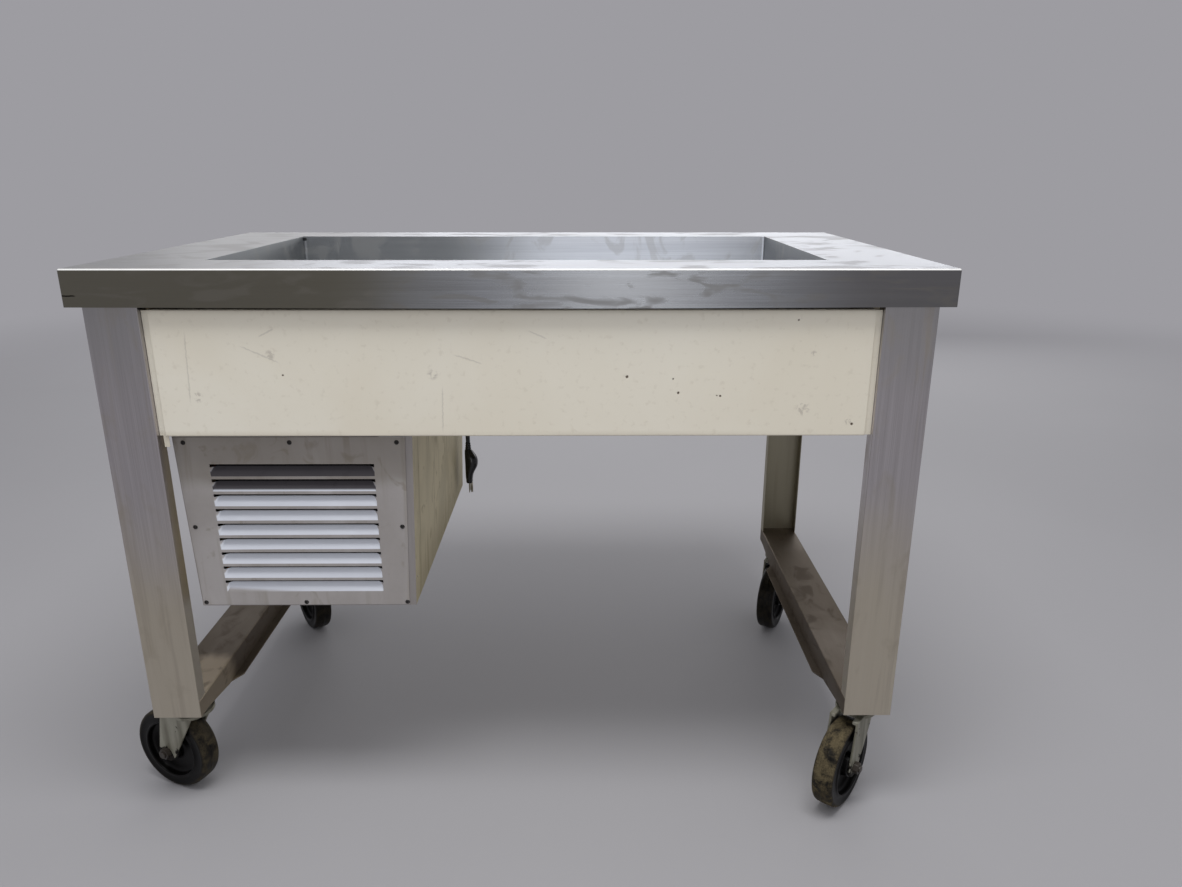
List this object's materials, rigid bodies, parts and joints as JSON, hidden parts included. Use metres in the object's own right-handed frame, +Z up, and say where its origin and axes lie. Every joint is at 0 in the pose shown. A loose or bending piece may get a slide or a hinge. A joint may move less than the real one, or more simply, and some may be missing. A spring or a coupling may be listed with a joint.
{
  "type": "mobile salad bar",
  "caption": "Stainless worktop with a refrigerated well on channel legs and swivel casters, with a louvred machine housing hung below.",
  "frame": {"origin": "on the floor, straight below the middle of the worktop", "axes": "+Z up, +X to the right along the worktop as seen from the front, -Y to the front, where the machine housing hangs at the left"},
  "size_m": [1.3278, 0.7779, 0.914],
  "materials": {
    "stainless": "satin",
    "pan_steel": "satin",
    "leg_steel": "satin",
    "galvanised": "matte",
    "panel_steel": "matte",
    "cream_enamel": "matte",
    "zinc": "matte",
    "bolt_steel": "satin",
    "foam": "matte",
    "fin_aluminium": "satin",
    "copper_tube": "satin",
    "valve_brass": "satin",
    "compressor_black": "satin",
    "motor_paint": "satin",
    "lever_red": "satin",
    "black_plastic": "matte",
    "grey_plastic": "matte",
    "plug_black": "gloss",
    "cord_black": "matte",
    "wheel_black": "satin",
    "mount_rubber": "matte"
  },
  "bodies": {
    "bar_frame": {"worktop": "stainless", "cold_pan": "pan_steel", "pan_insulation": "foam", "pan_jacket": "galvanised", "front_apron": "cream_enamel", "rear_apron": "cream_enamel", "left_apron": "cream_enamel", "right_apron": "cream_enamel", "leg_front_left": "leg_steel", "leg_front_right": "leg_steel", "leg_rear_left": "leg_steel", "leg_rear_right": "leg_steel", "rail_left": "leg_steel", "rail_right": "leg_steel", "deck_channels": "leg_steel", "caster_mount_plates": "leg_steel", "caster_bolts": "bolt_steel", "housing_shell": "galvanised", "front_louvre_panel": "panel_steel", "rear_louvre_panel": "panel_steel", "panel_screws": "bolt_steel", "housing_hangers": "galvanised", "unit_base": "galvanised", "compressor": "compressor_black", "compressor_mounts": "mount_rubber", "terminal_box": "black_plastic", "condenser_coil": "fin_aluminium", "fan_shroud": "motor_paint", "fan_motor": "motor_paint", "filter_drier": "copper_tube", "refrigerant_lines": "copper_tube", "evaporator_tube": "copper_tube", "thermostat_box": "grey_plastic", "drain_pipe": "pan_steel", "drain_valve": "valve_brass", "strain_relief": "black_plastic", "power_cord_lead": "cord_black", "power_cord_coil": "cord_black", "power_cord_drop": "cord_black", "cord_tie": "black_plastic", "power_plug": "plug_black", "caster_fl_head": "zinc", "caster_fr_head": "zinc", "caster_rl_head": "zinc", "caster_rr_head": "zinc"},
    "caster_fl_swivel": {"caster_fl_fork": "zinc", "caster_fl_axle": "bolt_steel"},
    "caster_fl_roller": {"caster_fl_wheel": "wheel_black"},
    "caster_fr_swivel": {"caster_fr_fork": "zinc", "caster_fr_axle": "bolt_steel"},
    "caster_fr_roller": {"caster_fr_wheel": "wheel_black"},
    "caster_rl_swivel": {"caster_rl_fork": "zinc", "caster_rl_axle": "bolt_steel"},
    "caster_rl_roller": {"caster_rl_wheel": "wheel_black"},
    "caster_rr_swivel": {"caster_rr_fork": "zinc", "caster_rr_axle": "bolt_steel"},
    "caster_rr_roller": {"caster_rr_wheel": "wheel_black"},
    "fan": {"fan_blade": "fin_aluminium"},
    "valve_lever": {"drain_lever": "lever_red"},
    "thermostat_dial": {"thermostat_knob": "black_plastic"}
  },
  "joints": [
    {"name": "front_left_swivel", "type": "hinge", "parent": "bar_frame", "child": "caster_fl_swivel", "pos_m": [-0.573, -0.3069, 0.16], "axis": [0, 0, 1], "continuous": true},
    {"name": "front_left_wheel_spin", "type": "hinge", "parent": "caster_fl_swivel", "child": "caster_fl_roller", "pos_m": [-0.6175, -0.28892, 0.076], "axis": [-0.3746, -0.9272, 0], "continuous": true},
    {"name": "front_right_swivel", "type": "hinge", "parent": "bar_frame", "child": "caster_fr_swivel", "pos_m": [0.573, -0.3069, 0.16], "axis": [0, 0, 1], "continuous": true},
    {"name": "front_right_wheel_spin", "type": "hinge", "parent": "caster_fr_swivel", "child": "caster_fr_roller", "pos_m": [0.54215, -0.34367, 0.076], "axis": [0.766, -0.6428, 0], "continuous": true},
    {"name": "rear_left_swivel", "type": "hinge", "parent": "bar_frame", "child": "caster_rl_swivel", "pos_m": [-0.573, 0.3069, 0.16], "axis": [0, 0, 1], "continuous": true},
    {"name": "rear_left_wheel_spin", "type": "hinge", "parent": "caster_rl_swivel", "child": "caster_rl_roller", "pos_m": [-0.54547, 0.26758, 0.076], "axis": [0.8192, 0.5736, 0], "continuous": true},
    {"name": "rear_right_swivel", "type": "hinge", "parent": "bar_frame", "child": "caster_rr_swivel", "pos_m": [0.573, 0.3069, 0.16], "axis": [0, 0, 1], "continuous": true},
    {"name": "rear_right_wheel_spin", "type": "hinge", "parent": "caster_rr_swivel", "child": "caster_rr_roller", "pos_m": [0.55121, 0.26413, 0.076], "axis": [0.891, -0.454, 0], "continuous": true},
    {"name": "fan_spin", "type": "hinge", "parent": "bar_frame", "child": "fan", "pos_m": [-0.3425, -0.2509, 0.4984], "axis": [0, 1, 0], "continuous": true},
    {"name": "drain_lever_turn", "type": "hinge", "parent": "bar_frame", "child": "valve_lever", "pos_m": [0.38, 0, 0.6638], "axis": [0, 1, 0], "range_deg": [0, 90]},
    {"name": "thermostat_turn", "type": "hinge", "parent": "bar_frame", "child": "thermostat_dial", "pos_m": [-0.19467, 0.182, 0.59], "axis": [0, 1, 0], "range_deg": [0, 270]}
  ]
}
